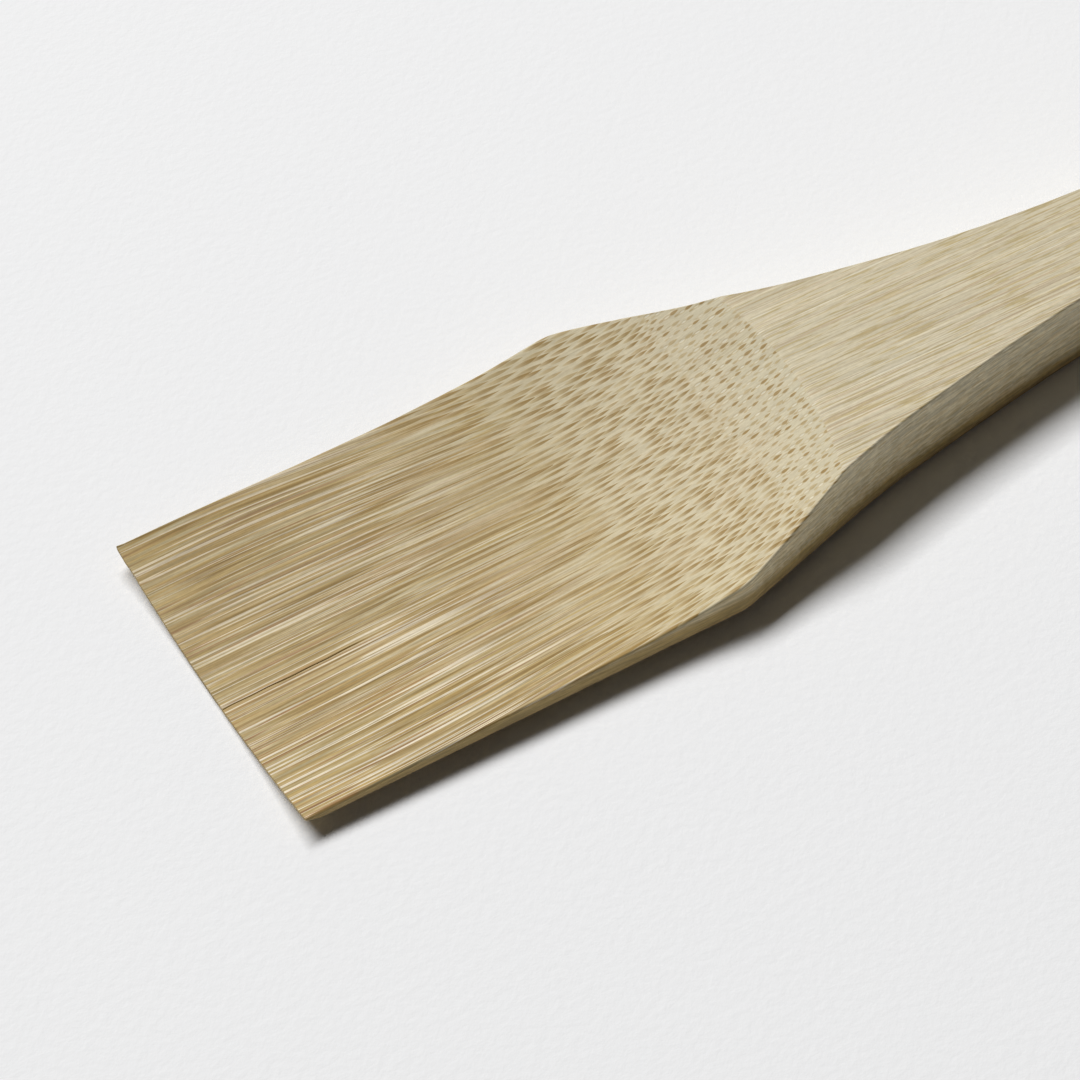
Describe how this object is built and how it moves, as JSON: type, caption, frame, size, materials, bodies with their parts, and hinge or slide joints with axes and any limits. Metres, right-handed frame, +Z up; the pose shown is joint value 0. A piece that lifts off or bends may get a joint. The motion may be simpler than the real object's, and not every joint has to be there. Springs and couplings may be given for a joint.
{
  "type": "bamboo folder",
  "caption": "Slim carved bamboo folding tool with a wide thin square-ended blade, a ramp between rounded shoulders and a long flat handle.",
  "frame": {"origin": "middle of the length and width, on the flat strip of the underside", "axes": "+X from the blade's tip to the handle's butt, +Y across the blade, +Z up from the underside"},
  "size_m": [0.18, 0.025, 0.0062],
  "materials": {
    "bamboo": "bare, finely scraped bamboo with visible fibre bundles"
  },
  "bodies": {
    "root": {"bamboo_folder": "bamboo"}
  },
  "joints": []
}
